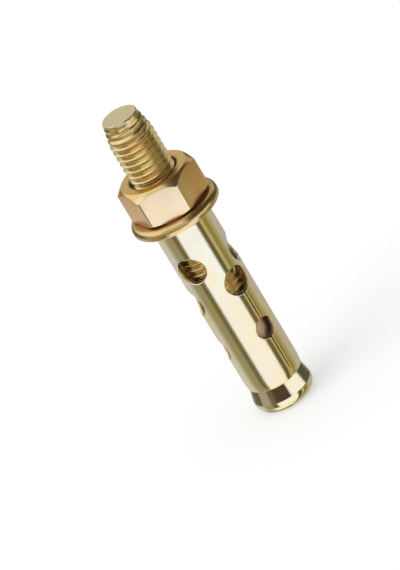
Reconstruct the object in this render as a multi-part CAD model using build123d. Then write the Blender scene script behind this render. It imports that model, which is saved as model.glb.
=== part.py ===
from build123d import *
from math import cos, hypot, radians, sin, tan
import os

# A sleeve anchor for masonry: a stud with a forged expander cone, a pierced and slit sleeve
# round it, a flat washer and a hex nut. It stands on the flat end of the cone, with the
# origin at the centre of that end and the stud's axis on +Z. Sizes are in millimetres, and
# angles in degrees round the axis, counter-clockwise from +X.

# Thread, shared by the stud and the nut, with its profile's sizes as shares of the pitch
thread_diameter = 12.0
thread_pitch = 1.75
thread_clearance = 0.05
thread_flank_angle = 30.0
thread_depth_share = 0.6134
thread_crest_share = 0.125
pitch_diameter_drop = 0.6495

# Stud
overall_length = 90.0
cone_overhang = 0.25
cone_band_height = 3.2
cone_half_angle = 12.0
cone_base_rounding = 2.2
cone_shoulder_rounding = 4.0
cone_root_rounding = 6.0
thread_start_height = 26.0
lead_length = 6.4
lead_drop = 1.35
lead_end_rounding = 0.6

# Sleeve: a straight collar at the top, and below it the pierced length, which narrows a little
sleeve_length = 52.2
sleeve_bore_clearance = 0.6
sleeve_wall = 1.25
sleeve_end_rounding = 0.25
collar_length = 8.7
leg_pinch = 0.17
lip_inset = 0.23
lip_height = 2.5
lip_land = 0.12
lip_rounding = 20.0
seat_clearance = 0.05

# Holes and slits in the sleeve, with heights taken up from its lower end
crush_hole_radius = 3.75
crush_hole_height = 38.0
crush_column_angle = -127.0
crush_row_steps = (1, -1, 0)
slit_hole_radius = 3.75
slit_hole_height = 29.6
relief_hole_radius = 2.85
relief_hole_height = 14.4
slit_column_angle = -56.0
slit_row_steps = (1, 0, -1)
slit_width = 0.4
row_stagger = 1.0
hole_edge_rounding = 0.25

# Washer
washer_radius = 12.0
washer_hole_clearance = 0.5
washer_thickness = 2.8
washer_top_rounding = 1.0
washer_edge_rounding = 0.45

# Nut, with its round end faces a little smaller than the flats
nut_across_flats = 19.0
nut_height = 10.0
nut_corner_angle = -72.0
nut_corner_rounding = 1.0
nut_top_face_inset = 0.5
nut_top_chamfer_angle = 45.0
nut_seat_face_inset = 0.2
nut_seat_chamfer_angle = 30.0
nut_countersink_margin = 0.75

# Worked out from the sizes above
thread_radius = thread_diameter / 2
thread_depth = thread_depth_share * thread_pitch
root_radius = thread_radius - thread_depth
shank_radius = (thread_diameter - pitch_diameter_drop * thread_pitch) / 2
thread_full = thread_start_height + thread_radius - shank_radius
lead_start = overall_length - lead_length
lead_slope = lead_drop / lead_length
sleeve_radius = thread_radius + sleeve_bore_clearance + sleeve_wall
cone_radius = sleeve_radius + cone_overhang
cone_slope = tan(radians(cone_half_angle))
leg_radius = sleeve_radius - leg_pinch
lip_radius = leg_radius - lip_inset
seat_radius = lip_radius - lip_land
seat_height = cone_band_height + (cone_radius - seat_radius + seat_clearance) / cone_slope
sleeve_top = seat_height + sleeve_length
washer_top = sleeve_top + washer_thickness


def turned(corners, seam_angle=0.0):
    """Turn a closed half section about the stud's axis, from corners of (radius, height, rounding).

    The turned faces meet themselves in a seam at seam_angle, which is best kept clear of holes.
    """
    points = [(radius, height) for radius, height, _ in corners]
    roundings = [rounding for _, _, rounding in corners]
    with BuildPart() as body:
        with BuildSketch(Plane.XZ.rotated((0, 0, seam_angle))):
            with BuildLine():
                FilletPolyline(*points, radius=roundings, close=True)
            make_face()
        revolve(axis=Axis.Z)
    return body.part


def radial_plane(angle, height):
    """A plane through the stud's axis at a height, facing outwards at an angle."""
    outwards = (cos(radians(angle)), sin(radians(angle)), 0)
    return Plane(origin=(0, 0, height), x_dir=(0, 0, 1), z_dir=outwards)


def row_places(first_angle, row_height, steps):
    """The (angle, height) of each hole in an evenly spaced row, staggered by whole steps."""
    spacing = 360 / len(steps)
    return [
        (first_angle + turn * spacing, seat_height + row_height + step * row_stagger)
        for turn, step in enumerate(steps)
    ]


def thread_corners():
    """The thread's outline: a ring groove for each turn, which grows shallow where the lead tapers."""
    flank_slope = tan(radians(thread_flank_angle))
    half_root = thread_pitch * (1 - thread_crest_share) / 2 - thread_depth * flank_slope
    turns_below_lead = int((lead_start - thread_full) / thread_pitch)
    turns_on_lead = int(thread_depth / lead_slope / thread_pitch + 0.5)
    corners = []
    for turn in range(-turns_below_lead, turns_on_lead):
        middle = lead_start + (turn + 0.5) * thread_pitch
        slope = lead_slope if turn >= 0 else 0
        depth = thread_depth - slope * (middle - lead_start)
        half_mouth = half_root + depth * flank_slope
        below = half_mouth / (1 - slope * flank_slope)
        above = half_mouth / (1 + slope * flank_slope)
        corners += [
            (root_radius + depth + slope * below, middle - below, 0),
            (root_radius, middle - half_root, 0),
            (root_radius, middle + half_root, 0),
            (root_radius + depth - slope * above, middle + above, 0),
        ]
    return corners


def make_stud():
    """The stud: expander cone, rolled shank, thread at its full diameter, and tapered lead."""
    cone_top = cone_band_height + (cone_radius - shank_radius) / cone_slope
    return turned([
        (0, 0, 0),
        (cone_radius, 0, cone_base_rounding),
        (cone_radius, cone_band_height, cone_shoulder_rounding),
        (shank_radius, cone_top, cone_root_rounding),
        (shank_radius, thread_start_height, 0),
        (thread_radius, thread_full, 0),
        *thread_corners(),
        (thread_radius - lead_drop, overall_length, lead_end_rounding),
        (0, overall_length, 0),
    ])


def make_sleeve_blank():
    """The sleeve before piercing: an even wall with a rounded lip, flared inside to seat on the cone."""
    collar_bottom = sleeve_top - collar_length
    leg_slope = leg_pinch / (collar_bottom - seat_height)
    leg_bore = leg_radius - sleeve_wall
    flare_height = (seat_radius - leg_bore) / (cone_slope + leg_slope)
    bore_radius = sleeve_radius - sleeve_wall
    between_columns = (crush_column_angle + slit_column_angle) / 2
    corners = [
        (seat_radius, seat_height, 0),
        (lip_radius, seat_height, 0),
        (leg_radius + lip_height * leg_slope, seat_height + lip_height, lip_rounding),
        (sleeve_radius, collar_bottom, 0),
        (sleeve_radius, sleeve_top, sleeve_end_rounding),
        (bore_radius, sleeve_top, sleeve_end_rounding),
        (bore_radius, collar_bottom, 0),
        (leg_bore + flare_height * leg_slope, seat_height + flare_height, 0),
    ]
    return turned(corners, seam_angle=between_columns)


def is_outer_rim(edge):
    """Does a hole's edge lie on the outside of the sleeve's wall?"""
    middle = edge @ 0.5
    return hypot(middle.X, middle.Y) > leg_radius - sleeve_wall / 4


def make_sleeve():
    """The sleeve: pierced with three rows of holes, and slit from its lower end into legs.

    Each slit runs up through a relief hole and ends in the larger hole above it.
    """
    reach = sleeve_radius + sleeve_wall
    slit_foot = seat_height - lip_height
    slit_row = row_places(slit_column_angle, slit_hole_height, slit_row_steps)
    relief_row = row_places(slit_column_angle, relief_hole_height, slit_row_steps)
    rows = (
        (row_places(crush_column_angle, crush_hole_height, crush_row_steps), crush_hole_radius),
        (slit_row, slit_hole_radius),
        (relief_row, relief_hole_radius),
    )
    with BuildPart() as body:
        add(make_sleeve_blank())
        for row, radius in rows:
            for angle, height in row:
                with BuildSketch(radial_plane(angle, height)):
                    Circle(radius)
                extrude(amount=reach, mode=Mode.SUBTRACT)
                fillet(body.edges(Select.LAST).filter_by(is_outer_rim), hole_edge_rounding)
        for angle, height in slit_row:
            with BuildSketch(radial_plane(angle, (height + slit_foot) / 2)):
                Rectangle(height - slit_foot, slit_width)
            extrude(amount=reach, mode=Mode.SUBTRACT)
    return body.part


def make_washer():
    """The washer: a stamped ring, with its upper edge drawn round by the punch."""
    hole_radius = thread_radius + washer_hole_clearance
    return turned([
        (hole_radius, sleeve_top, washer_edge_rounding),
        (washer_radius, sleeve_top, washer_edge_rounding),
        (washer_radius, washer_top, washer_top_rounding),
        (hole_radius, washer_top, washer_edge_rounding),
    ])


def make_nut():
    """The nut: a hexagon prism inside a turned envelope with chamfered ends and a plain bore."""
    nut_top = washer_top + nut_height
    flat_radius = nut_across_flats / 2
    corner_radius = flat_radius / cos(radians(30))
    top_face_radius = flat_radius - nut_top_face_inset
    seat_face_radius = flat_radius - nut_seat_face_inset
    bore_radius = thread_radius + thread_clearance
    countersink_radius = thread_radius + nut_countersink_margin
    countersink_depth = countersink_radius - bore_radius
    top_drop = (corner_radius - top_face_radius) * tan(radians(nut_top_chamfer_angle))
    seat_rise = (corner_radius - seat_face_radius) * tan(radians(nut_seat_chamfer_angle))
    envelope = turned([
        (bore_radius, washer_top + countersink_depth, 0),
        (countersink_radius, washer_top, 0),
        (seat_face_radius, washer_top, 0),
        (corner_radius, washer_top + seat_rise, 0),
        (corner_radius, nut_top - top_drop, 0),
        (top_face_radius, nut_top, 0),
        (countersink_radius, nut_top, 0),
        (bore_radius, nut_top - countersink_depth, 0),
    ])
    with BuildPart() as body:
        with BuildSketch(Plane.XY.offset(washer_top)):
            RegularPolygon(flat_radius, 6, major_radius=False, rotation=nut_corner_angle)
            fillet(vertices(), nut_corner_rounding)
        extrude(amount=nut_height)
        add(envelope, mode=Mode.INTERSECT)
    return body.part


os.makedirs("parts", exist_ok=True)
export_step(make_stud(), "parts/stud.step")
export_step(make_sleeve(), "parts/sleeve.step")
export_step(make_washer(), "parts/washer.step")
export_step(make_nut(), "parts/nut.step")
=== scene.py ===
"""A sleeve anchor in yellow-passivated zinc plate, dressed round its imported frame.

The stud, the pierced sleeve, the washer and the nut are built here as fine meshes that stand
where the frame's four nodes stand. Piece sizes are in millimetres, and Blender's in metres.
Angles on a piece are taken from +X. Bearings in the studio are in degrees from the camera's
side, growing to its right.
"""

from __future__ import annotations

import logging
import math
from collections.abc import Sequence
from dataclasses import dataclass, fields
from enum import Enum
from functools import cached_property, partialmethod
from types import SimpleNamespace

import bmesh
import bpy
from mathutils import Matrix, Vector
from mathutils.geometry import delaunay_2d_cdt

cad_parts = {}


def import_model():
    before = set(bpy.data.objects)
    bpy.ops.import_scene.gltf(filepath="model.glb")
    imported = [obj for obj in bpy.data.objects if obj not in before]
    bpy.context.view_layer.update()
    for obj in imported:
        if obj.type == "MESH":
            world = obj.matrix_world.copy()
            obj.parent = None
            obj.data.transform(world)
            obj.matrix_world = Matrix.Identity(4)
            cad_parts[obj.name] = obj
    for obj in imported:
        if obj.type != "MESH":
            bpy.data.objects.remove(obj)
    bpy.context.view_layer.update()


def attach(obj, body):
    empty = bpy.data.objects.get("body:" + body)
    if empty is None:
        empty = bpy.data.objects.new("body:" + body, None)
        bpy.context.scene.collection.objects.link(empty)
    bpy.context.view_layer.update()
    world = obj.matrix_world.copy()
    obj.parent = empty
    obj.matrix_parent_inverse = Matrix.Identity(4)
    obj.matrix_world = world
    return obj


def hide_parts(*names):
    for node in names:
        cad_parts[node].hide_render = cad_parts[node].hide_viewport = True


MM = 0.001
FULL_TURN = 2 * math.pi
WELD = 0.0004 * MM
EDGE_ATTRIBUTE = "edge"

log = logging.getLogger("sleeve_anchor")

Pair = tuple[float, float]
Triple = tuple[float, float, float]
Path = list[Pair]
Rings = list[list[Vector]]
WHITE = (1.0, 1.0, 1.0, 1.0)


class Piece(Enum):
    """The four pieces, by the name that a node and its moving body share."""

    STUD = "stud"
    SLEEVE = "sleeve"
    WASHER = "washer"
    NUT = "nut"

    @property
    def slot(self) -> str:
        """The record's material slot for this piece."""
        return f"{self.value}_steel"


class Side(Enum):
    """Which way a thread or a skin faces: away from the axis, or towards it."""

    OUTER = 1
    INNER = -1


@dataclass(frozen=True)
class Tone:
    """A colour as it shows on screen."""

    red: float
    green: float
    blue: float

    @property
    def linear(self) -> tuple[float, float, float, float]:
        """The same colour as light, for a shader's socket."""
        parts = (self.red, self.green, self.blue)
        light = [
            part / 12.92 if part <= 0.04045 else ((part + 0.055) / 1.055) ** 2.4 for part in parts
        ]
        return (*light, 1.0)


class Wire:
    """A node's output, on which Python arithmetic adds Math nodes."""

    def __init__(self, graph: Graph, socket: bpy.types.NodeSocket | None) -> None:
        """Wrap one socket of a graph."""
        self.graph = graph
        self.socket = socket

    def math(self, operation: str, *others: Wire | float) -> Wire:
        """This value and others through one Math node."""
        return self.graph.math(operation, self, *others)

    __add__ = __radd__ = partialmethod(math, "ADD")
    __sub__ = partialmethod(math, "SUBTRACT")
    __mul__ = __rmul__ = partialmethod(math, "MULTIPLY")
    __truediv__ = partialmethod(math, "DIVIDE")

    def __rsub__(self, other: float) -> Wire:
        """other - self"""
        return self.graph.math("SUBTRACT", other, self)

    def clamped(self) -> Wire:
        """This value held between 0 and 1."""
        return self.math("MINIMUM", 1.0).math("MAXIMUM", 0.0)

    def rise(self, start: float, end: float) -> Wire:
        """A smooth step from 0 at start to 1 at end, where end may lie below start."""
        sockets = {0: self, 1: start, 2: end}
        if start > end:
            sockets = {0: self, 1: end, 2: start, 3: 1.0, 4: 0.0}
        settings = {"interpolation_type": "SMOOTHSTEP", "clamp": True}
        return self.graph.node("ShaderNodeMapRange", sockets, **settings)

    def other(self, name: str) -> Wire:
        """Another output of the same node."""
        return Wire(self.graph, self.socket.node.outputs[name])


class Graph:
    """Builds one node tree."""

    def __init__(self, tree: bpy.types.NodeTree) -> None:
        """Start with an empty tree."""
        self.tree = tree
        self.tree.nodes.clear()

    def node(
        self,
        kind: str,
        sockets: dict[int | str, object] | None = None,
        output: int | str = 0,
        **settings: object,
    ) -> Wire:
        """Add one node.

        Args:
            kind: the node's type.
            sockets: values or wires by input name or number.
            output: the output that the returned wire stands for.
            settings: the node's own properties, set before its sockets.

        Returns:
            A wire from that output, or an empty one for a node that has none.
        """
        made = self.tree.nodes.new(kind)
        for name, value in settings.items():
            setattr(made, name, value)
        for key, value in (sockets or {}).items():
            if isinstance(value, Wire):
                self.tree.links.new(value.socket, made.inputs[key])
            else:
                made.inputs[key].default_value = value
        return Wire(self, made.outputs[output] if len(made.outputs) else None)

    def math(self, operation: str, *values: Wire | float) -> Wire:
        """One Math node over up to three values."""
        return self.node("ShaderNodeMath", dict(enumerate(values)), operation=operation)

    def vector(
        self, operation: str, place: Wire, other: Triple = (0, 0, 0), output: int | str = 0
    ) -> Wire:
        """One Vector Math node."""
        return self.node("ShaderNodeVectorMath", {0: place, 1: other}, output, operation=operation)

    def axis(self, place: Wire, name: str) -> Wire:
        """One coordinate of a place, X, Y or Z."""
        return self.node("ShaderNodeSeparateXYZ", {0: place}, name)

    def blend(self, share: Wire | float, first: object, second: object) -> Wire:
        """A colour that goes from first at share 0 to second at share 1."""
        sockets = {0: share, 6: first, 7: second}
        return self.node("ShaderNodeMix", sockets, 2, data_type="RGBA")


@dataclass(frozen=True)
class Noise:
    """A noise pattern, with its features about 1 / scale of a millimetre apart.

    The place is shifted and then stretched by axis before the noise is read. Given a span, the
    value rises from 0 to 1 between its two ends.
    """

    scale: float
    detail: float
    rough: float
    shift: Triple = (0, 0, 0)
    stretch: Triple = (1, 1, 1)
    span: Pair | None = None

    def over(self, place: Wire, closer: float = 1.0) -> Wire:
        """The pattern's value at a place, with its features this many times closer."""
        graph = place.graph
        moved = graph.vector("MULTIPLY", graph.vector("ADD", place, self.shift), self.stretch)
        sockets = {
            "Vector": moved,
            "Scale": self.scale * closer,
            "Detail": self.detail,
            "Roughness": self.rough,
        }
        value = graph.node("ShaderNodeTexNoise", sockets, noise_dimensions="3D")
        return value.rise(*self.span) if self.span else value


def rounded_path(corners: Sequence[Triple], steps: int) -> Path:
    """Round the corners of a half section with arcs.

    Args:
        corners: (radius, height, rounding) along the section; the two ends stay sharp.
        steps: spans in each arc, so that like sections get equally many points.

    Returns:
        The (radius, height) points, in millimetres.
    """
    places = [Vector((radius, height)) for radius, height, _ in corners]
    roundings = [rounding for _, _, rounding in corners[1:]]
    points = [places[0]]
    for before, corner, after, rounding in zip(places, places[1:], places[2:], roundings):
        if rounding == 0:
            points.append(corner)
            continue
        to_before = (before - corner).normalized()
        to_after = (after - corner).normalized()
        half = to_before.angle(to_after) / 2
        centre = corner + (to_before + to_after).normalized() * rounding / math.sin(half)
        start = corner + to_before * rounding / math.tan(half) - centre
        end = corner + to_after * rounding / math.tan(half) - centre
        sweep = math.pi - 2 * half
        for step in range(steps + 1):
            share = step / steps
            spoke = start * math.sin((1 - share) * sweep) + end * math.sin(share * sweep)
            points.append(centre + spoke / math.sin(sweep))
    points.append(places[-1])
    return [tuple(point) for point in points]


def on_axis(radius: float, angle: float, height: float) -> Vector:
    """A point at a radius and height, at an angle from +X."""
    return Vector((radius * math.cos(angle), radius * math.sin(angle), height))


def even_angles(columns: int, first: float = 0.0) -> list[float]:
    """Angles at even steps round the axis."""
    return [first + FULL_TURN * column / columns for column in range(columns)]


def swept_rings(paths: Sequence[Path], angles: Sequence[float]) -> Rings:
    """The rings across half sections of equally many points, with a section at each angle."""
    return [
        [on_axis(radius, angle, height) for (radius, height), angle in zip(row, angles)]
        for row in zip(*paths)
    ]


def turned_rings(path: Path, columns: int) -> Rings:
    """The rings that one half section sweeps, one for each of its points."""
    return swept_rings([path] * columns, even_angles(columns))


def slope_of(degrees: float) -> float:
    """How far a line at an angle moves aside for each unit along."""
    return math.tan(math.radians(degrees))


def smooth(value: float) -> float:
    """A smooth step over 0 to 1."""
    held = min(max(value, 0.0), 1.0)
    return held * held * (3 - 2 * held)


def linked(name: str, data: bpy.types.ID) -> bpy.types.Object:
    """A new object for some data, in the scene."""
    made = bpy.data.objects.new(name, data)
    bpy.context.scene.collection.objects.link(made)
    return made


class Shell:
    """Gathers a piece's skins in millimetres and welds them into one closed mesh in metres."""

    def __init__(self) -> None:
        """Start with no skins."""
        self.bm = bmesh.new()

    def skin(self, rings: Sequence[Sequence[Vector]], closed: bool = True) -> None:
        """Join neighbouring rings of equally many points by quads.

        Args:
            rings: the rows of points, in order.
            closed: whether each ring runs back to its own start.
        """
        rows = [[self.bm.verts.new(point * MM) for point in ring] for ring in rings]
        for lower, upper in zip(rows, rows[1:]):
            count = len(lower)
            for here in range(count if closed else count - 1):
                there = (here + 1) % count
                self.bm.faces.new((lower[here], lower[there], upper[there], upper[here]))

    def patch(self, points: Sequence[Vector], faces: Sequence[Sequence[int]]) -> None:
        """Add faces over numbered points."""
        verts = [self.bm.verts.new(point * MM) for point in points]
        for face in faces:
            self.bm.faces.new([verts[index] for index in face])

    def absorb(self, mesh: bpy.types.Mesh) -> None:
        """Take in a mesh that is already in metres."""
        self.bm.from_mesh(mesh)

    def close(self, name: str, sharp_degrees: float = 40.0) -> bpy.types.Object:
        """Weld the skins, point them outwards and make the object.

        Args:
            name: the object's name.
            sharp_degrees: the bend past which an edge shows as a crease.

        Returns:
            The object, at the origin, with its edge attribute.
        """
        bmesh.ops.remove_doubles(self.bm, verts=self.bm.verts, dist=WELD)
        bmesh.ops.dissolve_degenerate(self.bm, edges=self.bm.edges, dist=WELD)
        loose = [vert for vert in self.bm.verts if not vert.link_faces]
        bmesh.ops.delete(self.bm, geom=loose, context="VERTS")
        bmesh.ops.recalc_face_normals(self.bm, faces=self.bm.faces)
        bends = [self._bend(vert) for vert in self.bm.verts]
        mesh = bpy.data.meshes.new(name)
        self.bm.to_mesh(mesh)
        self.bm.free()
        mesh.shade_smooth()
        mesh.set_sharp_from_angle(angle=math.radians(sharp_degrees))
        mesh.attributes.new(EDGE_ATTRIBUTE, "FLOAT", "POINT").data.foreach_set("value", bends)
        return linked(name, mesh)

    def _bend(self, vert: bmesh.types.BMVert) -> float:
        """How sharply the surface turns at a vertex, per millimetre: above 0 on an outer edge."""
        area = sum(face.calc_area() for face in vert.link_faces) / 3
        turn = sum(
            edge.calc_length() * edge.calc_face_angle_signed(0.0) for edge in vert.link_edges
        )
        return max(-1.0, min(1.0, turn / (4 * area) * MM)) if area > 0 else 0.0


def install(made: bpy.types.Object, piece: Piece, finish: bpy.types.Material) -> None:
    """Put a built object in the place of its frame node.

    Args:
        made: the object, already where it belongs.
        piece: the piece that it stands for.
        finish: its material.
    """
    made.data.materials.clear()
    made.data.materials.append(finish)
    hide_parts(piece.value)
    piece.slot
    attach(made, piece.value)
    triangles = sum(len(face.vertices) - 2 for face in made.data.polygons)
    log.info("%s: %s, %d triangles", piece.value, made.name, triangles)


@dataclass(frozen=True)
class Helix:
    """One stretch of screw thread, cut off by a plain cone at each end.

    Radii, heights and lengths are in millimetres. A cone's slope is how far it opens for each
    millimetre in from its end. The thread eases into its plain ends over a length, and keeps a
    trace of its groove where a cone has cut it down.
    """

    side: Side
    major_radius: float
    minor_radius: float
    pitch: float
    crest_height: float
    foot: float
    length: float
    foot_radius: float
    foot_slope: float
    end_radius: float
    end_slope: float
    ease: float
    columns: int
    trace: float = 0.0
    rows_per_turn: int = 16

    TREE_NAME = "rolled_thread"
    SOCKET_KINDS = {"Side": "NodeSocketFloat", "float": "NodeSocketFloat", "int": "NodeSocketInt"}
    CREST_END = 0.125
    ROOT_START = 0.75
    ROLLED_SHARE = 0.55
    CONE_BLEND = 0.2

    @classmethod
    def _inputs(cls) -> dict[str, str]:
        """The kind of socket for each of the tree's inputs, by name."""
        sizes = {field.name: cls.SOCKET_KINDS[field.type] for field in fields(cls)}
        return {**sizes, "rows": "NodeSocketInt", "finish": "NodeSocketMaterial"}

    @classmethod
    def tree(cls) -> bpy.types.NodeTree:
        """The node tree that winds a grid into a thread, built once."""
        if cls.TREE_NAME in bpy.data.node_groups:
            return bpy.data.node_groups[cls.TREE_NAME]
        tree = bpy.data.node_groups.new(cls.TREE_NAME, "GeometryNodeTree")
        tree.is_modifier = True
        for name, kind in cls._inputs().items():
            tree.interface.new_socket(name, in_out="INPUT", socket_type=kind)
        tree.interface.new_socket("thread", in_out="OUTPUT", socket_type="NodeSocketGeometry")
        cls._wind(Graph(tree))
        return tree

    @classmethod
    def _wind(cls, graph: Graph) -> None:
        """Lay the grid's rows along the helix, and give each point its radius."""
        given = graph.node("NodeGroupInput")
        size = SimpleNamespace(**{name: given.other(name) for name in cls._inputs()})
        counts = {"Vertices X": size.rows, "Vertices Y": size.columns + 1.0}
        grid = graph.node("GeometryNodeMeshGrid", {"Size X": 1.0, "Size Y": 1.0, **counts})
        place = graph.node("GeometryNodeInputPosition")
        row = ((graph.axis(place, "X") + 0.5) * (size.rows - 1.0)).math("ROUND")
        turn = ((graph.axis(place, "Y") + 0.5) * size.columns).math("ROUND") / size.columns

        top = size.foot + size.length
        wound = size.foot + size.pitch * (row / size.rows_per_turn - 1.0 + turn)
        height = wound.math("MAXIMUM", size.foot).math("MINIMUM", top)
        phase = ((height - size.crest_height) / size.pitch - turn).math("FRACT")
        from_crest = 1.0 - 2.0 * (phase - 0.5).math("ABSOLUTE")
        flank = ((cls.ROOT_START - from_crest) / (cls.ROOT_START - cls.CREST_END)).clamped()
        swell = (from_crest * math.pi).math("COSINE") * 0.5 + 0.5
        raised = flank * (1 - cls.ROLLED_SHARE) + swell * cls.ROLLED_SHARE

        side = size.side
        foot_cone = side * size.foot_radius + size.foot_slope * (height - size.foot)
        end_cone = side * size.end_radius + size.end_slope * (top - height)
        cone = foot_cone.math("MINIMUM", end_cone)
        major, minor = side * size.major_radius, side * size.minor_radius
        peak = major.math("MAXIMUM", minor).math("SMOOTH_MIN", cone, cls.CONE_BLEND)
        root = major.math("MINIMUM", minor).math("MINIMUM", peak - size.trace)
        cut = side * (root + (peak - root) * (side * (raised - 0.5) + 0.5))

        past_middle = (height - size.foot - size.length * 0.5).math("GREATER_THAN", 0.0)
        plain = size.foot_radius + (size.end_radius - size.foot_radius) * past_middle
        from_end = (height - size.foot).math("MINIMUM", top - height)
        share = (from_end / size.ease).clamped()
        radius = (plain + (cut - plain) * share) * MM

        angle = turn * FULL_TURN
        across = {"X": radius * angle.math("COSINE"), "Y": radius * angle.math("SINE")}
        point = graph.node("ShaderNodeCombineXYZ", {**across, "Z": height * MM})
        wall = graph.node("GeometryNodeSetPosition", {"Geometry": grid, "Position": point})
        real = graph.node("GeometryNodeRealizeInstances", {"Geometry": wall})
        finish = {"Geometry": real, "Material": size.finish}
        dressed = graph.node("GeometryNodeSetMaterial", finish)
        graph.node("NodeGroupOutput", {0: dressed})

    def mesh(self, finish: bpy.types.Material) -> bpy.types.Mesh:
        """Run the tree for these sizes.

        Args:
            finish: the material that the tree sets.

        Returns:
            A plain mesh in metres, open at both ends.
        """
        tree = self.tree()
        rows = math.ceil((self.length / self.pitch + 1) * self.rows_per_turn) + 1
        values = {**vars(self), "side": float(self.side.value), "rows": rows, "finish": finish}
        holder = linked("thread_holder", bpy.data.meshes.new("thread_holder"))
        modifier = holder.modifiers.new("Thread", "NODES")
        modifier.node_group = tree
        for item in tree.interface.items_tree:
            if item.in_out == "INPUT":
                modifier[item.identifier] = values[item.name]
        graph = bpy.context.evaluated_depsgraph_get()
        made = bpy.data.meshes.new_from_object(holder.evaluated_get(graph), depsgraph=graph)
        holder.modifiers.clear()
        bpy.data.objects.remove(holder)
        return made


class Measure(Enum):
    """What a zone is measured by: one coordinate of a place, or its distance from the axis."""

    HEIGHT = "Z"
    DEPTH = "Y"
    RADIUS = "radius"


@dataclass(frozen=True)
class Zone:
    """A part of a piece where the film differs or shade is painted, from none of it at start to
    all of it at end.

    Start and end are in millimetres of height, of depth (which is Y, and grows away from the
    camera's side), or of radius.
    """

    measure: Measure
    start: float
    end: float
    film: Tone
    share: float
    roughness: float

    def cover(self, place: Wire) -> Wire:
        """How far a place lies in the zone, from 0 to 1."""
        graph = place.graph
        if self.measure is Measure.RADIUS:
            flat = graph.vector("MULTIPLY", place, (1, 1, 0))
            along = graph.vector("LENGTH", flat, output="Value")
        else:
            along = graph.axis(place, self.measure.value)
        return along.rise(self.start, self.end)


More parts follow.
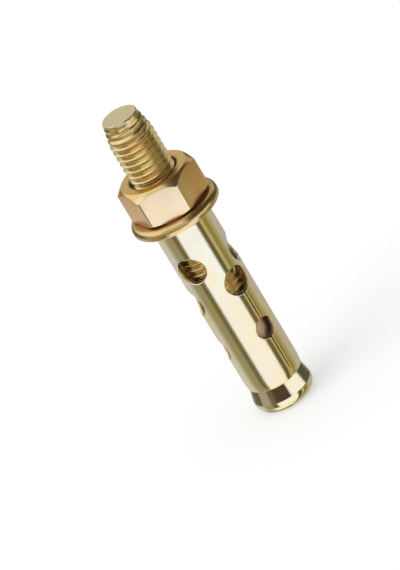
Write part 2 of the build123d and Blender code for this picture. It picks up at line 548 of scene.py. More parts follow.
@dataclass(frozen=True)
class Plating:
    """Yellow-passivated zinc on one piece.

    The film is uneven: its own tone drifts to a second one in broad patches, and to a third in
    smaller ones. Concave corners are darkened as painted shade. The patch size is in millimetres,
    and depths are in micrometres.
    """

    name: str
    film: Tone
    broad_tone: Tone
    small_tone: Tone
    broad_share: float
    patch: float
    roughness: float
    grain_depth: float
    wave_depth: float
    zones: tuple[Zone, ...]
    small_share: float = 0.5
    streak_depth: float = 0.0
    worn_share: float = 0.55
    # The share of the dark tone that is painted into concave corners as shade.
    corner_shade_share: float = 0.7
    # The dark tone of the soot specks, also used for the painted shade in concave corners.
    soot_and_shade: Tone = Tone(0.20, 0.15, 0.08)
    bright: Tone = Tone(0.98, 0.94, 0.84)

    WORN_BENDS = (0.25, 0.9)
    # Bends over which the painted shade in concave corners fades in.
    CORNER_SHADE_BENDS = (-0.1, -0.7)
    BROAD = Noise(1.0, 3.0, 0.55, shift=(3.1, 7.7, 1.9), span=(0.36, 0.66))
    SMALL = Noise(1.6, 3.0, 0.6, shift=(-9.2, 2.4, 5.3), span=(0.45, 0.7))
    SPECKS = Noise(5.5, 2.0, 0.7, span=(0.66, 0.74))
    CLOUD = Noise(0.5, 4.0, 0.6, shift=(0.4, 0.9, -6.0))
    SOFT_GRAIN = Noise(9.0, 2.0, 0.6)
    GRAIN = Noise(7.0, 3.0, 0.6)
    WAVES = Noise(0.35, 1.0, 0.4)
    STREAKS = Noise(1.0, 3.0, 0.6, stretch=(4.5, 4.5, 0.12))
    SCRATCHES = Noise(1.0, 2.0, 0.5, shift=(1.5, 2.5, 0.5), stretch=(0.9, 1.6, 0.25))
    SCRATCH_EDGES = (0.0045, 0.001)
    SCRATCH_DEPTH = 0.8
    SPECK_SHARE = 0.3
    CLOUD_DRIFT = 0.48
    GRAIN_DRIFT = 0.36
    WORN_GLOSS = 0.05
    # How much duller the corners with painted shade are made.
    CORNER_SHADE_DULLING = 0.35

    def material(self) -> bpy.types.Material:
        """Build the finish as a node material on Object coordinates."""
        made = bpy.data.materials.new(self.name)
        made.use_nodes = True
        graph = Graph(made.node_tree)
        metres = graph.node("ShaderNodeTexCoord", output="Object")
        place = graph.vector("MULTIPLY", metres, (1 / MM, 1 / MM, 1 / MM))
        bend = graph.node("ShaderNodeAttribute", output="Fac", attribute_name=EDGE_ATTRIBUTE)
        worn = bend.rise(*self.WORN_BENDS)
        corner_shade = bend.rise(*self.CORNER_SHADE_BENDS)
        covers = [zone.cover(place) for zone in self.zones]
        sockets = {
            "Base Color": self._colour(place, worn, corner_shade, covers),
            "Metallic": 1.0,
            "Roughness": self._roughness(place, worn, corner_shade, covers),
            "Normal": self._normal(place),
        }
        shader = graph.node("ShaderNodeBsdfPrincipled", sockets)
        graph.node("ShaderNodeOutputMaterial", {"Surface": shader})
        return made

    def _colour(self, place: Wire, worn: Wire, corner_shade: Wire, covers: Sequence[Wire]) -> Wire:
        """The plate's colour: patches of film, zones, soot specks, worn edges and painted shade in
        concave corners.
        """
        closer = 1 / self.patch
        layers = [
            (self.BROAD.over(place, closer) * self.broad_share, self.broad_tone),
            (self.SMALL.over(place, closer) * self.small_share, self.small_tone),
            *((cover * zone.share, zone.film) for cover, zone in zip(covers, self.zones)),
            (self.SPECKS.over(place) * self.SPECK_SHARE, self.soot_and_shade),
            (worn * self.worn_share, self.bright),
            # Painted shade: concave corners darkened towards the dark tone.
            (corner_shade * self.corner_shade_share, self.soot_and_shade),
        ]
        colour = self.film.linear
        for share, tone in layers:
            colour = place.graph.blend(share, colour, tone.linear)
        return colour

    def _roughness(self, place: Wire, worn: Wire, corner_shade: Wire, covers: Sequence[Wire]) -> Wire:
        """Duller in patches and corners, brighter on worn edges."""
        cloud = self.CLOUD.over(place) - 0.5
        grain = self.SOFT_GRAIN.over(place) - 0.5
        drift = cloud * self.CLOUD_DRIFT + grain * self.GRAIN_DRIFT + 1.0
        level = self.roughness
        for cover, zone in zip(covers, self.zones):
            level = (1.0 - cover) * level + cover * zone.roughness
        dulling = corner_shade * self.corner_shade_share * self.CORNER_SHADE_DULLING
        return (drift * level - worn * self.WORN_GLOSS + dulling).clamped()

    def _normal(self, place: Wire) -> Wire:
        """Grain, slow waves, drawing streaks and a few fine scratches, as one bump."""
        grain = self.GRAIN.over(place) * self.grain_depth
        waves = self.WAVES.over(place) * self.wave_depth
        streaks = self.STREAKS.over(place) * self.streak_depth
        line = (self.SCRATCHES.over(place) - 0.5).math("ABSOLUTE")
        scratches = line.rise(*self.SCRATCH_EDGES) * self.grain_depth * self.SCRATCH_DEPTH
        height = grain + waves + streaks - scratches
        sockets = {"Strength": 1.0, "Distance": MM * MM, "Height": height}
        return place.graph.node("ShaderNodeBump", sockets)


@dataclass(frozen=True)
class Stud:
    """The stud: expander cone, rolled shank, thread, tapered lead and sheared end.

    The end's edge is crisp, and at the angle where the shear pressed it over, it is rolled:
    lower by a drop, and rounder by a gain. The dome's corners on the end's face are given as
    (share of its radius, drop, rounding).
    """

    finish: Plating
    thread_radius: float = 6.0
    thread_root_radius: float = 4.93
    shank_radius: float = 5.432
    pitch: float = 1.75
    crest_height: float = 75.465
    thread_start: float = 26.0
    runout: float = 1.75
    ease: float = 0.9
    trace: float = 0.12
    length: float = 90.0
    lead_length: float = 6.4
    lead_drop: float = 1.35
    end_land: float = 0.45
    end_overhang: float = 0.02
    end_rounding: float = 0.16
    rolled_angle: float = -20.0
    rolled_drop: float = 0.1
    rolled_gain: float = 0.2
    cone_radius: float = 8.1
    cone_band: float = 3.2
    cone_half_angle: float = 12.0
    base_rounding: float = 2.4
    shoulder_rounding: float = 1.2
    root_rounding: float = 6.0
    columns: int = 96

    DOME = ((0.78, 0.02, 1.2), (0.35, 0.0, 1.0), (0.0, 0.0, 0.0))
    ROLLED_SPREAD = 0.6
    FOOT_STEPS = 10
    END_STEPS = 5

    def build(self) -> None:
        """Make the stud and put it in its node's place."""
        finish = self.finish.material()
        shell = Shell()
        shell.skin(turned_rings(self._foot_path(), self.columns))
        shell.absorb(self._helix().mesh(finish))
        shell.skin(self._end_rings())
        install(shell.close("threaded_stud"), Piece.STUD, finish)

    def _helix(self) -> Helix:
        """The stud's thread, from its runout at the shank to the end of the lead."""
        return Helix(
            side=Side.OUTER,
            major_radius=self.thread_radius,
            minor_radius=self.thread_root_radius,
            pitch=self.pitch,
            crest_height=self.crest_height,
            foot=self.thread_start,
            length=self.length - self.end_land - self.thread_start,
            foot_radius=self.shank_radius,
            foot_slope=(self.thread_radius - self.shank_radius) / self.runout,
            end_radius=self._land_radius(),
            end_slope=self.lead_drop / self.lead_length,
            ease=self.ease,
            trace=self.trace,
            columns=self.columns,
        )

    def _land_radius(self) -> float:
        """The lead's radius where its thread has died out."""
        return self.thread_radius - self.lead_drop * (1 - self.end_land / self.lead_length)

    def _foot_path(self) -> Path:
        """The half section from the centre of the cone's end up to the thread."""
        cone_height = (self.cone_radius - self.shank_radius) / slope_of(self.cone_half_angle)
        cone_top = self.cone_band + cone_height
        corners = [
            (0.0, 0.0, 0.0),
            (self.cone_radius, 0.0, self.base_rounding),
            (self.cone_radius, self.cone_band, self.shoulder_rounding),
            (self.shank_radius, cone_top, self.root_rounding),
            (self.shank_radius, self.thread_start, 0.0),
        ]
        return rounded_path(corners, self.FOOT_STEPS)

    def _end_rings(self) -> Rings:
        """The sheared end, from the thread in over the edge to the middle of a shallow dome."""
        face_radius = self.thread_radius - self.lead_drop
        edge_radius = face_radius + self.end_overhang
        land = (self._land_radius(), self.length - self.end_land, 0.0)
        dome = [
            (face_radius * share, self.length - drop, rounding)
            for share, drop, rounding in self.DOME
        ]
        angles = even_angles(self.columns)
        paths = []
        for angle in angles:
            away = angle - math.radians(self.rolled_angle)
            rolled = smooth(0.5 + self.ROLLED_SPREAD * math.cos(away))
            height = self.length - self.rolled_drop * rolled
            edge = (edge_radius, height, self.end_rounding + self.rolled_gain * rolled)
            paths.append(rounded_path([land, edge, *dome], self.END_STEPS))
        return swept_rings(paths, angles)


@dataclass(frozen=True)
class Opening:
    """A hole pierced through the sleeve, or two of them on a slit that runs to its lower end.

    Holes are (height, radius), the highest first, and the angle is in degrees from +X. A slit's
    sides take a smaller share of the rims' rounding than its holes, which rises to all of it
    within a reach of the corners where they meet.
    """

    angle: float
    holes: tuple[Pair, ...]
    slit_half_width: float = 0.0

    HOLE_SPANS = 72
    RELIEF_SPANS = 24
    FOOT_SPANS = 22
    FOOT_CROWDING = 2.6
    BETWEEN_SPANS = 12
    SLIT_SHARE = 0.4
    CORNER_REACH = 0.7

    def rim(self, hole_growth: float, slit_growth: float, foot: float) -> list[Triple]:
        """The opening's outline, grown outwards.

        Args:
            hole_growth: how far the round parts are grown.
            slit_growth: how far the slit's sides are grown, at the slit's share.
            foot: the height of the sleeve's lower end.

        Returns:
            (sideways place, height, share of the rounding) points.
        """
        height, radius = self.holes[0]
        main = radius + hole_growth
        if not self.slit_half_width:
            return self._arc(height, main, -math.pi, math.pi, self.HOLE_SPANS)[:-1]
        relief_height, relief_radius = self.holes[1]
        relief = relief_radius + hole_growth
        side = self.slit_half_width + slit_growth * self.SLIT_SHARE
        turn = math.asin(side / main)
        over_top = self._arc(height, main, turn - math.pi, math.pi - turn, self.HOLE_SPANS, side)
        turn = math.asin(side / relief)
        left_relief = self._arc(
            relief_height, relief, turn - math.pi, -turn, self.RELIEF_SPANS, side
        )
        below = self._line(-side, foot, left_relief[0][1], self.FOOT_SPANS, self.FOOT_CROWDING)
        between = self._line(-side, left_relief[-1][1], over_top[0][1], self.BETWEEN_SPANS)
        left = [*below[:-1], *left_relief, *between[1:-1]]
        right = [(-sideways, height, share) for sideways, height, share in reversed(left)]
        return [*left, *over_top, *right]

    def covers(self, sideways: float, height: float, gaps: Pair) -> bool:
        """Does a place lie within the holes or the slit, each widened by its gap?"""
        hole_gap, slit_gap = gaps
        if self.slit_half_width and height < self.holes[0][0]:
            if abs(sideways) < self.slit_half_width + slit_gap:
                return True
        aways = (math.hypot(sideways, height - middle) - radius for middle, radius in self.holes)
        return min(aways) < hole_gap

    def _arc(
        self, height: float, radius: float, start: float, end: float, spans: int, side: float = 0.0
    ) -> list[Triple]:
        """Points round a hole, turning clockwise from start to end, where 0 is its top."""
        points = []
        for span in range(spans + 1):
            turn = start + (end - start) * span / spans
            sideways = radius * math.sin(turn)
            share = 1.0
            is_over_top = height == self.holes[0][0] and math.cos(turn) > 0
            if side and not is_over_top:
                from_slit = max(abs(sideways) - side, 0.0) / self.CORNER_REACH
                share = self.SLIT_SHARE + (1 - self.SLIT_SHARE) * smooth(from_slit)
            points.append((sideways, height + radius * math.cos(turn), share))
        return points

    def _line(
        self, side: float, start: float, end: float, spans: int, crowding: float = 1.0
    ) -> list[Triple]:
        """Points up one side of the slit, closer together near the start if crowding is over 1."""
        return [
            (side, start + (end - start) * (span / spans) ** crowding, self.SLIT_SHARE)
            for span in range(spans + 1)
        ]


@dataclass(frozen=True)
class Wall:
    """One face of the sleeve's wall, with its rims' rounding and its rows' heights."""

    side: Side
    rim_rounding: float
    levels: tuple[float, ...]


@dataclass(frozen=True)
class Sleeve:
    """The rolled sleeve: collar, pierced rows of holes, and legs parted by slits.

    Heights of holes are taken up from the sleeve's lower end. The seam is where the flat layout
    is cut open, and it steps aside between two neighbouring holes.
    """

    finish: Plating
    foot: float = 7.0578
    length: float = 52.2
    radius: float = 7.85
    wall: float = 1.25
    collar: float = 8.7
    pinch: float = 0.17
    lip_inset: float = 0.23
    lip_height: float = 2.5
    lip_curve: float = 1.7
    lip_land: float = 0.12
    cone_half_angle: float = 12.0
    end_rounding: float = 0.25
    rim_rounding: float = 0.25
    inner_rim_rounding: float = 0.08
    crush_angle: float = -127.0
    crush_height: float = 38.0
    slit_angle: float = -56.0
    slit_height: float = 29.6
    hole_radius: float = 3.75
    relief_height: float = 14.4
    relief_radius: float = 2.85
    slit_half_width: float = 0.2
    columns: int = 96
    row_spacing: float = 0.75
    seam_angle: float = -91.5
    seam_step: float = 4.0
    seam_step_height: float = 31.4
    seam_step_length: float = 6.5

    CRUSH_STEPS = (1, -1, 0)
    SLIT_STEPS = (1, 0, -1)
    OUTER_FOOT_LEVELS = (0.0, 0.02, 0.06, 0.12, 0.3, 0.6, 1.0, 1.5, 2.0, 2.5)
    INNER_FOOT_LEVELS = (0.0, 0.3, 0.8, 1.6, 2.6, 3.4, 4.2)
    TOP_STEPS = 5
    RIM_STEPS = 4
    RIM_LAND = 0.12
    RIM_SLACK = (-0.005, -0.005)
    RIM_MARGIN = (0.62, 0.42)
    RIM_FADE = 0.4
    LAYOUT_WELD = 1e-5
    SHARP_DEGREES = 35.0

    def build(self) -> None:
        """Make the sleeve and put it in its node's place."""
        shell = Shell()
        outer_levels = self._levels(self.OUTER_FOOT_LEVELS)
        inner_levels = self._levels(self.INNER_FOOT_LEVELS)
        outer = self._pierce(shell, Wall(Side.OUTER, self.rim_rounding, outer_levels))
        inner = self._pierce(shell, Wall(Side.INNER, self.inner_rim_rounding, inner_levels))
        for opening, outside, inside in zip(self._openings, outer, inner):
            middle = [(a + b) / 2 for a, b in zip(outside, inside)]
            shell.skin([outside, middle, inside], closed=not opening.slit_half_width)
        shell.skin(self._top_land())
        made = shell.close("pierced_sleeve", self.SHARP_DEGREES)
        install(made, Piece.SLEEVE, self.finish.material())

    @property
    def top(self) -> float:
        """The height of the sleeve's upper end."""
        return self.foot + self.length

    @property
    def bore(self) -> float:
        """The radius of the collar's bore."""
        return self.radius - self.wall

    @cached_property
    def _openings(self) -> list[Opening]:
        """Three crush holes, and three slits with two holes each, in staggered rows."""
        crush = ((self.crush_height, self.hole_radius),)
        slit = ((self.slit_height, self.hole_radius), (self.relief_height, self.relief_radius))
        made = []
        for angle, steps, holes, half_width in (
            (self.crush_angle, self.CRUSH_STEPS, crush, 0.0),
            (self.slit_angle, self.SLIT_STEPS, slit, self.slit_half_width),
        ):
            for turn, step in enumerate(steps):
                placed = tuple((self.foot + height + step, radius) for height, radius in holes)
                made.append(Opening(angle + 360.0 / len(steps) * turn, placed, half_width))
        return made

    def _pinched(self, height: float) -> float:
        """How far the legs have narrowed at a height."""
        collar_bottom = self.top - self.collar
        down = max(collar_bottom - height, 0.0) / (collar_bottom - self.foot)
        return self.pinch * down

    def _leg_radius(self, height: float) -> float:
        """The outside radius at a height: straight collar, tapered legs and curved-in lip."""
        in_lip = max(self.lip_height - (height - self.foot), 0.0) / self.lip_height
        return self.radius - self._pinched(height) - self.lip_inset * in_lip**self.lip_curve

    def _section(self, side: Side, along: float) -> Pair:
        """The (radius, height) of a face, whose heights run on round the arc of the top edge."""
        top_start = self.top - self.end_rounding
        if along > top_start:
            plain = self.radius if side is Side.OUTER else self.bore
            turn = (along - top_start) / self.end_rounding
            drop = self.end_rounding * (1 - math.cos(turn))
            return plain - side.value * drop, top_start + self.end_rounding * math.sin(turn)
        up = along - self.foot
        seat = self._leg_radius(self.foot) - self.lip_land
        if side is Side.INNER:
            flare = seat - up * slope_of(self.cone_half_angle)
            return max(flare, self.bore - self._pinched(along)), along
        return seat + up if up < self.lip_land else self._leg_radius(along), along

    def _levels(self, foot_levels: Sequence[float]) -> tuple[float, ...]:
        """Heights of the background rows, close together at both ends."""
        top_start = self.top - self.end_rounding
        arc = self.end_rounding * math.pi / 2
        last = self.foot + foot_levels[-1]
        count = round((top_start - last) / self.row_spacing)
        middle = [last + (top_start - last) * row / count for row in range(1, count)]
        edge = [top_start + arc * step / self.TOP_STEPS for step in range(self.TOP_STEPS + 1)]
        return (*(self.foot + level for level in foot_levels), *middle, *edge)

    def _top_land(self) -> Rings:
        """The flat ring at the top, between its two rounded edges."""
        outer, inner = self.radius - self.end_rounding, self.bore + self.end_rounding
        path = [(outer, self.top), (inner, self.top)]
        angles = even_angles(self.columns, self._seam(self.top))
        return swept_rings([path] * self.columns, angles)

    def _seam(self, height: float) -> float:
        """The seam's angle at a height."""
        step = 2 * smooth((height - self.foot - self.seam_step_height) / self.seam_step_length) - 1
        return math.radians(self.seam_angle + self.seam_step * step)

    def _pierce(self, shell: Shell, wall: Wall) -> list[list[Vector]]:
        """Lay one face out flat, pierce it, and wrap it round the axis.

        Args:
            shell: the shell that the face is added to.
            wall: the face.

        Returns:
            For each opening, the points where its rim meets the hole's own wall.
        """
        flat: list[Vector] = []
        points: list[Vector] = []
        edges: list[tuple[int, int]] = []
        rims: list[list[Vector]] = []
        for opening in self._openings:
            middle = math.radians(opening.angle)
            for ring, (sink, spread, slit_spread) in enumerate(self._rim_rings(wall)):
                first = len(flat)
                outline = opening.rim(spread, slit_spread, self.foot)
                for sideways, along, share in outline:
                    radius, height = self._section(wall.side, along)
                    turned = middle + math.asin(sideways / radius) - self._seam(along)
                    flat.append(Vector((turned % FULL_TURN * self.radius, along)))
                    fade = smooth((along - self.foot) / self.RIM_FADE)
                    radius -= wall.side.value * sink * share * fade
                    points.append(on_axis(radius, middle + math.asin(sideways / radius), height))
                if ring == 0:
                    rims.append(points[first:])
                last = len(flat) - 1
                edges += [(index, index + 1) for index in range(first, last)]
                if not opening.slit_half_width:
                    edges.append((last, first))
        self._add_background(wall, flat, points)
        _, _, triangles, origins, _, _ = delaunay_2d_cdt(flat, edges, [], 0, self.LAYOUT_WELD)
        kept = []
        for triangle in triangles:
            indices = [origins[index][0] for index in triangle]
            turned, along = sum((flat[index] for index in indices), Vector((0, 0))) / 3
            angle = turned / self.radius + self._seam(along)
            if self._is_metal(angle, along, self._section(wall.side, along)[0], self.RIM_SLACK):
                kept.append(indices)
        shell.patch(points, kept)
        return rims

    def _rim_rings(self, wall: Wall) -> list[Triple]:
        """The rings round a rim: those of its rounding, then one on the flat.

        Each is (depth, spread of the holes, spread of the slit's sides). The slit's is the same
        on both faces, so that they weld at the sleeve's lower end.
        """
        own, slit = wall.rim_rounding, self.rim_rounding
        rings = []
        for step in range(self.RIM_STEPS + 1):
            turn = math.pi / 2 * (1 - step / self.RIM_STEPS)
            spread = 1 - math.sin(turn)
            rings.append((own * (1 - math.cos(turn)), own * spread, slit * spread))
        return [*rings, (0.0, own + self.RIM_LAND, slit + self.RIM_LAND)]

    def _add_background(self, wall: Wall, flat: list[Vector], points: list[Vector]) -> None:
        """Fill the rest of a face's layout with evenly spaced points, clear of the openings."""
        for along in wall.levels:
            radius, height = self._section(wall.side, along)
            for column in range(self.columns + 1):
                turned = FULL_TURN * column / self.columns
                angle = self._seam(along) + turned
                if self._is_metal(angle, along, radius, self.RIM_MARGIN):
                    flat.append(Vector((turned * self.radius, along)))
                    points.append(on_axis(radius, angle, height))

    def _is_metal(self, angle: float, along: float, radius: float, gaps: Pair) -> bool:
        """Does a place on a face lie outside every opening, widened by these gaps?

        Triangles along a rim have their centres a little inside its arc, so a small slack
        keeps them and still leaves out the opening's own.
        """
        for opening in self._openings:
            away = angle - math.radians(opening.angle)
            if math.cos(away) > 0 and opening.covers(radius * math.sin(away), along, gaps):
                return False
        return True


@dataclass(frozen=True)
class Washer:
    """The stamped flat washer, its upper edge drawn round by the punch."""

    finish: Plating
    seat: float = 59.2578
    thickness: float = 2.8
    radius: float = 12.0
    hole_radius: float = 6.5
    top_rounding: float = 1.7
    edge_rounding: float = 0.45
    columns: int = 144

    EDGE_STEPS = 8

    def build(self) -> None:
        """Make the washer and put it in its node's place."""
        top = self.seat + self.thickness
        middle = ((self.hole_radius + self.radius) / 2, self.seat, 0.0)
        corners = [
            middle,
            (self.radius, self.seat, self.edge_rounding),
            (self.radius, top, self.top_rounding),
            (self.hole_radius, top, self.edge_rounding),
            (self.hole_radius, self.seat, self.edge_rounding),
            middle,
        ]
        shell = Shell()
        shell.skin(turned_rings(rounded_path(corners, self.EDGE_STEPS), self.columns))
        install(shell.close("flat_washer"), Piece.WASHER, self.finish.material())


@dataclass(frozen=True)
class Nut:
    """The hexagon nut: chamfered ends, countersunk bore and a real internal thread."""

    finish: Plating
    stud: Stud
    seat: float = 62.0578
    height: float = 10.0
    across_flats: float = 19.0
    corner_angle: float = -72.0
    corner_rounding: float = 1.0
    top_face_radius: float = 9.0
    seat_face_radius: float = 9.3
    top_chamfer: float = 45.0
    seat_chamfer: float = 30.0
    top_edge_rounding: float = 0.22
    top_chamfer_rounding: float = 0.16
    seat_chamfer_rounding: float = 0.12
    seat_edge_rounding: float = 0.08
    mouth_rounding: float = 0.12
    countersink_radius: float = 6.75
    bore_radius: float = 6.1
    thread_gap: float = 0.06
    thread_ease: float = 0.35
    minor_radius: float = 5.06
    columns: int = 96

    SIDES = 6
    CORNER_SPANS = 6
    EDGE_STEPS = 4

    def build(self) -> None:
        """Make the nut and put it in its node's place."""
        finish = self.finish.material()
        shell = Shell()
        shell.skin(self._body_rings())
        shell.absorb(self._helix().mesh(finish))
        install(shell.close("hex_nut"), Piece.NUT, finish)

    @property
    def _countersink_depth(self) -> float:
        """How far the bore's two countersinks, at 45 degrees, reach in."""
        return self.countersink_radius - self.bore_radius

    def _helix(self) -> Helix:
        """The nut's thread, wound in step with the stud's and a small gap clear of it."""
        return Helix(
            side=Side.INNER,
            major_radius=self.stud.thread_radius + self.thread_gap,
            minor_radius=self.minor_radius,
            pitch=self.stud.pitch,
            crest_height=self.stud.crest_height,
            foot=self.seat + self._countersink_depth,
            length=self.height - 2 * self._countersink_depth,
            foot_radius=self.bore_radius,
            foot_slope=1.0,
            end_radius=self.bore_radius,
            end_slope=1.0,
            ease=self.thread_ease,
            columns=self.columns,
        )

    def _outline(self) -> list[Pair]:
        """The hexagon as (radius, angle) for each column, from its first corner's middle."""
        half = math.pi / self.SIDES
        steps = range(self.CORNER_SPANS + 1)
        turns = [half * (2 * span / self.CORNER_SPANS - 1) for span in steps]
        centre_radius = (self.across_flats / 2 - self.corner_rounding) / math.cos(half)
        arcs = []
        for corner in range(self.SIDES + 1):
            bearing = math.radians(self.corner_angle) + 2 * half * corner
            centre = on_axis(centre_radius, bearing, 0)
            arcs.append([centre + on_axis(self.corner_rounding, bearing + t, 0) for t in turns])
        spans = self.columns // self.SIDES - self.CORNER_SPANS
        made = []
        for arc, following in zip(arcs, arcs[1:]):
            side = [arc[-1].lerp(following[0], span / spans) for span in range(1, spans)]
            made += [(point.length, math.atan2(point.y, point.x)) for point in (*arc, *side)]
        to_middle = self.CORNER_SPANS // 2
        return made[to_middle:] + made[:to_middle]

    def _body_rings(self) -> Rings:
        """Rings from the top of the thread out over the hexagon and back in to its foot.

        The mouths' rings stand in the columns of the thread, and the rest in the hexagon's.
        """
        top = self.seat + self.height
        depth = self._countersink_depth
        outline = self._outline()
        paths = []
        for radius, _ in outline:
            top_drop = (radius - self.top_face_radius) * slope_of(self.top_chamfer)
            seat_rise = (radius - self.seat_face_radius) * slope_of(self.seat_chamfer)
            corners = [
                (self.bore_radius, top - depth, 0.0),
                (self.countersink_radius, top, self.mouth_rounding),
                (self.top_face_radius, top, self.top_edge_rounding),
                (radius, top - top_drop, self.top_chamfer_rounding),
                (radius, self.seat + seat_rise, self.seat_chamfer_rounding),
                (self.seat_face_radius, self.seat, self.seat_edge_rounding),
                (self.countersink_radius, self.seat, self.mouth_rounding),
                (self.bore_radius, self.seat + depth, 0.0),
            ]
            paths.append(rounded_path(corners, self.EDGE_STEPS))
        step = FULL_TURN / self.columns
        first = step * round(math.radians(self.corner_angle) / step)
        mouths = swept_rings(paths, even_angles(self.columns, first))
        outside = swept_rings(paths, [angle for _, angle in outline])
        rows = self.EDGE_STEPS + 2
        return [*mouths[:rows], *outside[rows:-rows], *mouths[-rows:]]


@dataclass(frozen=True)
class Card:
    """A soft-edged card or flag in the studio, seen only in reflections.

    Bearings, elevations and softness are in degrees.
    """

    name: str
    bearing: Pair
    elevation: Pair
    light: Tone
    softness: float = 5.0

    def lay(self, bearing: Wire, elevation: Wire, behind: Wire) -> Wire:
        """Lay the card over the light behind it, by the reflection's bearing and elevation."""
        half = self.softness / 2
        across, up = (
            value.rise(low - half, low + half) * value.rise(high + half, high - half)
            for value, (low, high) in ((bearing, self.bearing), (elevation, self.elevation))
        )
        laid = behind.graph.blend(across * up, behind, self.light.linear)
        laid.socket.node.label = self.name
        return laid


@dataclass(frozen=True)
class Studio:
    """A white light tent with flags, a pale floor and a soft key lamp.

    The cards cover one another in their order. Lamp and floor sizes are in metres.
    """

    room: Tone = Tone(0.72, 0.70, 0.64)
    cards: tuple[Card, ...] = (
        Card("tent front", (-47, 38), (-100, -14), Tone(1.0, 1.0, 0.99)),
        Card("left flag", (-100, -68), (-100, -14), Tone(0.60, 0.57, 0.42), 12.0),
        Card("left flag edge", (-68, -47), (-100, -14), Tone(0.42, 0.39, 0.22)),
        Card("right flag", (38, 100), (-100, -14), Tone(0.55, 0.50, 0.26), 8.0),
        Card("right flag edge", (38, 55), (-100, -14), Tone(0.36, 0.31, 0.10)),
        Card("right flag gap", (57, 67), (-100, -14), Tone(0.78, 0.73, 0.48)),
        Card("right flag rim", (88, 104), (-100, -14), Tone(0.68, 0.62, 0.40), 8.0),
        Card("side left", (-210, -112), (-60, -22), Tone(0.82, 0.80, 0.75), 10.0),
        Card("low left", (-88, -40), (-100, -42), Tone(1.0, 0.99, 0.80), 4.0),
        Card("low front", (-44, 34), (-100, -40), Tone(1.0, 0.98, 0.80), 6.0),
        Card("low far left", (-130, -80), (-100, -60), Tone(1.0, 0.99, 0.90)),
        Card("low back left", (-205, -128), (-100, -42), Tone(0.42, 0.38, 0.22), 8.0),
        Card("camera side", (-54, 13), (-11, 7), Tone(0.28, 0.23, 0.17)),
        Card("camera side left", (-72, -44), (-11, 7), Tone(0.42, 0.38, 0.30), 12.0),
        Card("camera left", (-102, -66), (-14, 26), Tone(0.66, 0.63, 0.54), 10.0),
        Card("tent side", (13, 80), (-12, 5), Tone(1.0, 1.0, 0.99), 4.0),
        Card("far right", (84, 165), (-20, 14), Tone(0.33, 0.33, 0.26), 6.0),
        Card("far left", (-160, -102), (-20, 14), Tone(0.38, 0.38, 0.30), 8.0),
        Card("tent top", (-150, 14), (14, 100), Tone(1.0, 0.99, 0.95), 8.0),
        Card("tent front top", (-62, 14), (4, 56), Tone(0.78, 0.72, 0.58), 8.0),
        Card("back left", (-210, -150), (8, 70), Tone(0.78, 0.76, 0.70), 8.0),
        Card("back right", (125, 210), (8, 70), Tone(0.78, 0.76, 0.70), 8.0),
        Card("upper right", (12, 125), (7, 100), Tone(0.28, 0.22, 0.04), 6.0),
        Card("upper right back", (100, 184), (58, 100), Tone(0.26, 0.20, 0.04), 8.0),
        Card("roof", (-210, -4), (70, 100), Tone(1.0, 1.0, 0.98), 6.0),
    )
    even_light: float = 0.75
    paper: float = 0.8
    paper_glow: float = 0.3
    floor_size: float = 6.0
    key_size: float = 1.2
    key_power: float = 7.0
    key_place: Triple = (-1.1, -0.4, 1.25)
    key_target: Triple = (0.0, 0.0, 0.04)

    def build(self) -> None:
        """Make the world, the floor and the lamp."""
        self._make_world()
        self._make_floor()
        self._make_key()

    def _make_world(self) -> None:
        """White to the camera, the tent and its flags in reflections, and even light elsewhere."""
        world = bpy.data.worlds.new("studio")
        bpy.context.scene.world = world
        world.use_nodes = True
        graph = Graph(world.node_tree)
        toward = graph.node("ShaderNodeTexCoord", output="Generated")
        right, back, up = (graph.axis(toward, name) for name in "XYZ")
        bearing = graph.math("DEGREES", graph.math("ARCTAN2", right, back * -1.0))
        elevation = graph.math("DEGREES", up.math("ARCSINE"))
        tent = graph.node("ShaderNodeRGB")
        tent.socket.default_value = self.room.linear
        for card in self.cards:
            tent = card.lay(bearing, elevation, tent)
        reflected, even, white = (
            graph.node("ShaderNodeBackground", {"Color": light, "Strength": strength})
            for light, strength in ((tent, 1.0), (WHITE, self.even_light), (WHITE, 1.0))
        )
        glossy = graph.node("ShaderNodeLightPath", output="Is Glossy Ray")
        lit = graph.node("ShaderNodeMixShader", {0: glossy, 1: even, 2: reflected})
        camera = glossy.other("Is Camera Ray")
        seen = graph.node("ShaderNodeMixShader", {0: camera, 1: lit, 2: white})
        graph.node("ShaderNodeOutputWorld", {"Surface": seen})

    def _make_floor(self) -> None:
        """A pale floor that keeps the object's shadow and is white to the camera elsewhere."""
        half = self.floor_size / 2
        mesh = bpy.data.meshes.new("floor")
        corners = [(-half, -half, 0), (half, -half, 0), (half, half, 0), (-half, half, 0)]
        mesh.from_pydata(corners, [], [(0, 1, 2, 3)])
        floor = linked("floor", mesh)
        paper = bpy.data.materials.new("floor_paper")
        paper.use_nodes = True
        graph = Graph(paper.node_tree)
        camera = graph.node("ShaderNodeLightPath", output="Is Camera Ray")
        grey = (self.paper, self.paper, self.paper, 1.0)
        matt = graph.node("ShaderNodeBsdfDiffuse", {"Color": grey})
        light = {"Color": WHITE, "Strength": camera * self.paper_glow}
        glow = graph.node("ShaderNodeEmission", light)
        both = graph.node("ShaderNodeAddShader", {0: matt, 1: glow})
        graph.node("ShaderNodeOutputMaterial", {"Surface": both})
        mesh.materials.append(paper)
        floor.visible_glossy = False

    def _make_key(self) -> None:
        """A large soft lamp above and to the left."""
        lamp = bpy.data.lights.new("key", "AREA")
        lamp.shape = "SQUARE"
        lamp.size = self.key_size
        lamp.energy = self.key_power
        key = linked("key", lamp)
        key.matrix_world = aimed(Vector(self.key_place), Vector(self.key_target))
        key.visible_glossy = False


def aimed(place: Vector, target: Vector, roll_degrees: float = 0.0) -> Matrix:
    """A matrix at a place whose -Z looks at a target, rolled about its own view."""
    turn = (target - place).to_track_quat("-Z", "Y").to_matrix().to_4x4()
    return Matrix.Translation(place) @ turn @ Matrix.Rotation(math.radians(roll_degrees), 4, "Z")


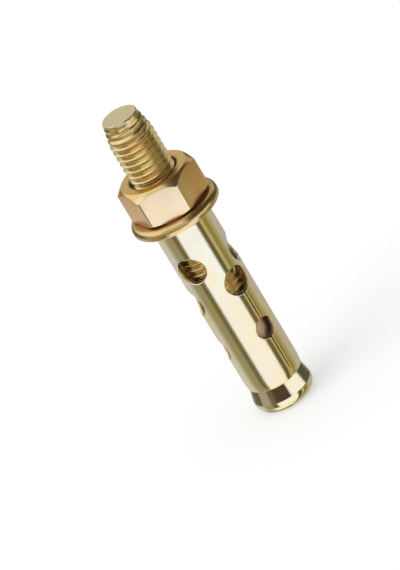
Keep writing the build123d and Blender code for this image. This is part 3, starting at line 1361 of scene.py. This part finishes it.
@dataclass(frozen=True)
class Camera:
    """The photograph's view: from a little above, rolled so that the stud leans left.

    Angles are in degrees, the distance in metres, and the lens and its sensor in millimetres.
    """

    elevation: float = 25.4
    roll: float = -31.17
    distance: float = 2.2
    lens: float = 557.0
    sensor: float = 36.0
    aim_height: float = 38.9
    aim_right: float = -4.39

    def build(self) -> None:
        """Make the camera and give it to the scene."""
        rise = math.radians(self.elevation)
        away = Vector((0, -math.cos(rise), math.sin(rise)))
        aim = Vector((self.aim_right, 0, self.aim_height)) * MM
        data = bpy.data.cameras.new("camera")
        data.lens = self.lens
        data.sensor_width = self.sensor
        made = linked("camera", data)
        made.matrix_world = aimed(aim + away * self.distance, aim, self.roll)
        bpy.context.scene.camera = made


SLEEVE_PLATE = Plating(
    name="sleeve_plate",
    film=Tone(0.97, 0.97, 0.94),
    broad_tone=Tone(0.99, 0.94, 0.77),
    small_tone=Tone(0.97, 0.93, 0.92),
    broad_share=0.9,
    small_share=0.7,
    patch=10.0,
    roughness=0.16,
    grain_depth=0.5,
    wave_depth=4.0,
    streak_depth=0.6,
    zones=(
        Zone(Measure.HEIGHT, 46.0, 22.0, Tone(0.985, 0.93, 0.78), 0.45, 0.17),
        # Painted shade: the bore and the inner part of the hole walls made darker and greyer.
        Zone(Measure.RADIUS, 7.45, 7.0, Tone(0.58, 0.51, 0.41), 0.8, 0.40),
    ),
)
STUD_PLATE = Plating(
    name="stud_plate",
    film=Tone(0.97, 0.89, 0.68),
    broad_tone=Tone(0.97, 0.82, 0.58),
    small_tone=Tone(0.90, 0.85, 0.56),
    broad_share=0.7,
    patch=5.0,
    roughness=0.27,
    grain_depth=1.6,
    wave_depth=3.0,
    worn_share=0.4,
    # Less painted shade in the stud's concave corners.
    corner_shade_share=0.3,
    zones=(
        Zone(Measure.HEIGHT, 27.0, 25.0, Tone(1.0, 0.89, 0.79), 1.0, 0.60),
        Zone(Measure.HEIGHT, 17.0, 14.0, Tone(0.97, 0.94, 0.85), 0.95, 0.12),
        Zone(Measure.HEIGHT, 89.3, 89.7, Tone(0.97, 0.94, 0.80), 0.9, 0.30),
    ),
)
WASHER_PLATE = Plating(
    name="washer_plate",
    film=Tone(0.97, 0.88, 0.70),
    broad_tone=Tone(0.94, 0.78, 0.52),
    small_tone=Tone(0.90, 0.84, 0.62),
    broad_share=0.8,
    patch=6.0,
    roughness=0.26,
    grain_depth=2.0,
    wave_depth=3.0,
    # Painted shade: the washer darkened to brown inside 10 mm radius, where the nut sits, fading
    # out towards the rim.
    zones=(Zone(Measure.RADIUS, 11.9, 10.0, Tone(0.60, 0.43, 0.16), 0.85, 0.30),),
)
NUT_PLATE = Plating(
    name="nut_plate",
    film=Tone(0.99, 0.91, 0.80),
    broad_tone=Tone(0.98, 0.87, 0.70),
    small_tone=Tone(0.96, 0.88, 0.84),
    broad_share=0.7,
    patch=7.0,
    roughness=0.24,
    grain_depth=1.4,
    wave_depth=4.0,
    zones=(
        Zone(Measure.DEPTH, -8.6, -6.0, Tone(1.0, 0.80, 0.57), 0.8, 0.28),
        Zone(Measure.HEIGHT, 70.8, 71.8, Tone(0.92, 0.80, 0.50), 0.75, 0.28),
        # Painted shade: the countersinks and the internal thread made dark brown.
        Zone(Measure.RADIUS, 7.2, 6.6, Tone(0.40, 0.29, 0.13), 0.85, 0.45),
    ),
)


def main() -> None:
    """Load the frame, dress its four pieces, and set up the studio and the camera."""
    logging.basicConfig(level=logging.INFO, format="%(message)s")
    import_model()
    stud = Stud(STUD_PLATE)
    stud.build()
    Sleeve(SLEEVE_PLATE).build()
    Washer(WASHER_PLATE).build()
    Nut(NUT_PLATE, stud).build()
    Studio().build()
    Camera().build()
    bpy.context.scene.view_settings.view_transform = "Standard"
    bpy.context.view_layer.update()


if __name__ == "__main__":
    main()
